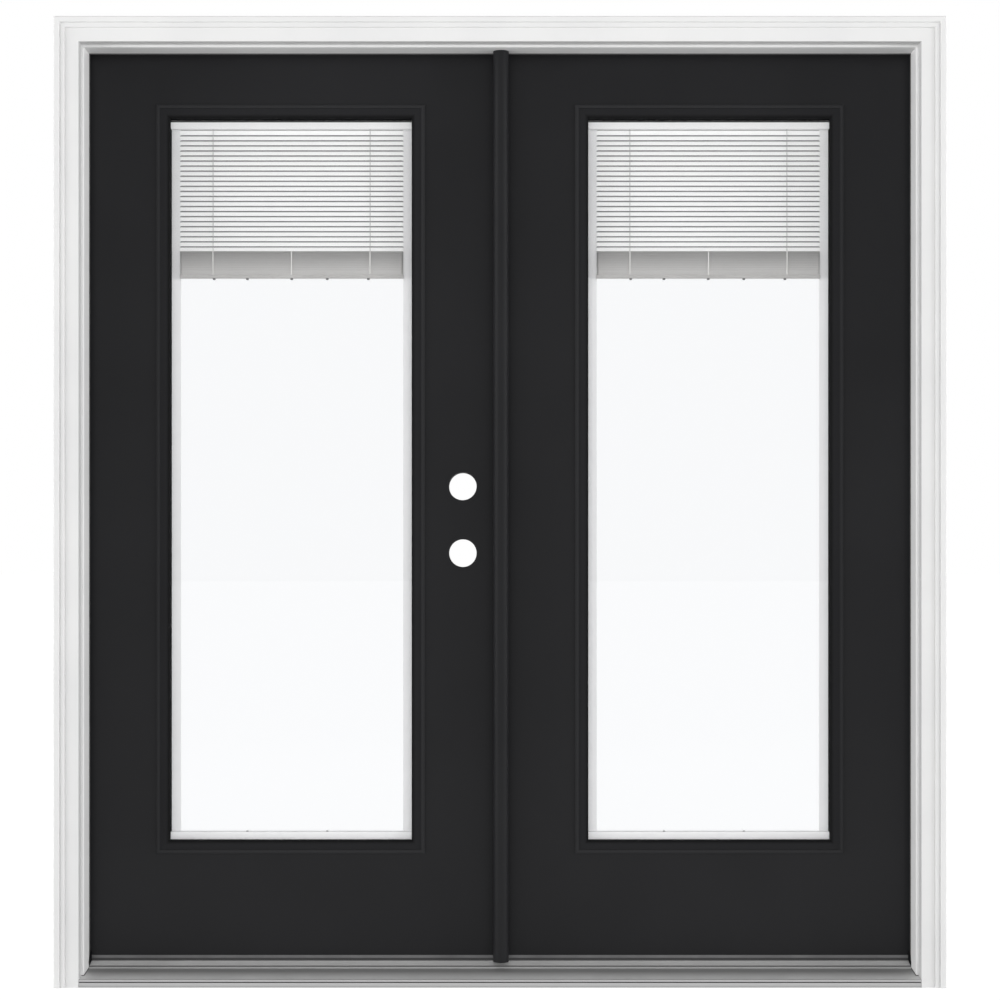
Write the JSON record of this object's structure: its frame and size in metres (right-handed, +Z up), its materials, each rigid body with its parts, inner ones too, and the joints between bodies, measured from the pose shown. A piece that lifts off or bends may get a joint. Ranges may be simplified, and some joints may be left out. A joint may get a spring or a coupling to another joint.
{
  "type": "french doors",
  "caption": "Pair of inswing full-light patio doors in a white jamb with brickmould and sloped sill, black leaves, round-nosed astragal, open lock bores and blinds between the panes.",
  "frame": {"origin": "middle of the sill, on its underside, in line with the outside edge of the jambs", "axes": "+X along the sill to the right seen from outside, +Y indoors through the wall, +Z up"},
  "size_m": [1.88, 0.1606, 2.046],
  "materials": {
    "white_paint": "satin white paint on primed jambs and brickmould",
    "black_paint": "satin charcoal black paint",
    "aluminium": "mill finish, brushed along its length",
    "grey_vinyl": "matt grey vinyl",
    "dark_rubber": "dark foam-filled bulb",
    "wood": "bare timber and composite filler",
    "foam": "rigid foam",
    "glass": "clear float glass",
    "blind_white": "white baked enamel and vinyl",
    "steel": "satin nickel plated steel"
  },
  "bodies": {
    "frame": {"left_jamb": "white_paint", "right_jamb": "white_paint", "head_jamb": "white_paint", "left_brickmould": "white_paint", "right_brickmould": "white_paint", "head_brickmould": "white_paint", "sill_base": "wood", "sill_deck": "aluminium", "threshold_cap": "grey_vinyl", "left_weatherstrip": "dark_rubber", "right_weatherstrip": "dark_rubber", "head_weatherstrip": "dark_rubber", "left_frame_hinge_leaves": "steel", "right_frame_hinge_leaves": "steel", "left_hinge_pins": "steel", "right_hinge_pins": "steel", "head_bolt_strike": "steel", "foot_bolt_strike": "steel"},
    "active_door": {"active_hinge_stile": "wood", "active_lock_stile": "wood", "active_top_rail": "wood", "active_bottom_rail": "wood", "active_core": "foam", "active_exterior_skin": "black_paint", "active_interior_skin": "black_paint", "active_exterior_lite_frame": "black_paint", "active_interior_lite_frame": "black_paint", "active_exterior_pane": "glass", "active_interior_pane": "glass", "active_spacer": "dark_rubber", "active_blind_frame": "blind_white", "active_hanging_slats": "blind_white", "active_hinge_leaves": "steel", "active_sweep": "grey_vinyl"},
    "active_blind_stack": {"active_slat_stack": "blind_white"},
    "active_blind_rail": {"active_blind_bottom_rail": "blind_white", "active_blind_slider": "black_paint"},
    "passive_door": {"passive_hinge_stile": "wood", "passive_lock_stile": "wood", "passive_top_rail": "wood", "passive_bottom_rail": "wood", "passive_core": "foam", "passive_exterior_skin": "black_paint", "passive_interior_skin": "black_paint", "passive_exterior_lite_frame": "black_paint", "passive_interior_lite_frame": "black_paint", "passive_exterior_pane": "glass", "passive_interior_pane": "glass", "passive_spacer": "dark_rubber", "passive_blind_frame": "blind_white", "passive_hanging_slats": "blind_white", "passive_hinge_leaves": "steel", "passive_sweep": "grey_vinyl", "astragal": "black_paint", "astragal_seal": "dark_rubber"},
    "passive_blind_stack": {"passive_slat_stack": "blind_white"},
    "passive_blind_rail": {"passive_blind_bottom_rail": "blind_white", "passive_blind_slider": "black_paint"},
    "head_bolt": {"head_bolt": "steel"},
    "foot_bolt": {"foot_bolt": "steel"}
  },
  "joints": [
    {"name": "active_swing", "type": "hinge", "parent": "frame", "child": "active_door", "pos_m": [-0.8935, 0.1225, 1], "axis": [0, 0, 1], "range_deg": [0, 110]},
    {"name": "passive_swing", "type": "hinge", "parent": "frame", "child": "passive_door", "pos_m": [0.8935, 0.1225, 1], "axis": [0, 0, -1], "range_deg": [0, 99]},
    {"name": "active_blind_raise", "type": "slide", "parent": "active_door", "child": "active_blind_stack", "axis": [0, 0, 1], "range_m": [0, 0.24], "deforming": ["active_hanging_slats"]},
    {"name": "active_blind_lower", "type": "slide", "parent": "active_blind_stack", "child": "active_blind_rail", "axis": [0, 0, -1], "range_m": [0, 1.19], "deforming": ["active_slat_stack"]},
    {"name": "passive_blind_raise", "type": "slide", "parent": "passive_door", "child": "passive_blind_stack", "axis": [0, 0, 1], "range_m": [0, 0.24], "deforming": ["passive_hanging_slats"]},
    {"name": "passive_blind_lower", "type": "slide", "parent": "passive_blind_stack", "child": "passive_blind_rail", "axis": [0, 0, -1], "range_m": [0, 1.19], "deforming": ["passive_slat_stack"]},
    {"name": "head_bolt_slide", "type": "slide", "parent": "passive_door", "child": "head_bolt", "axis": [0, 0, 1], "range_m": [0, 0.016]},
    {"name": "foot_bolt_slide", "type": "slide", "parent": "passive_door", "child": "foot_bolt", "axis": [0, 0, -1], "range_m": [0, 0.016]}
  ],
  "couplings": [
    {"joint": "passive_swing", "follows": "active_swing", "ratio": 0.9}
  ]
}
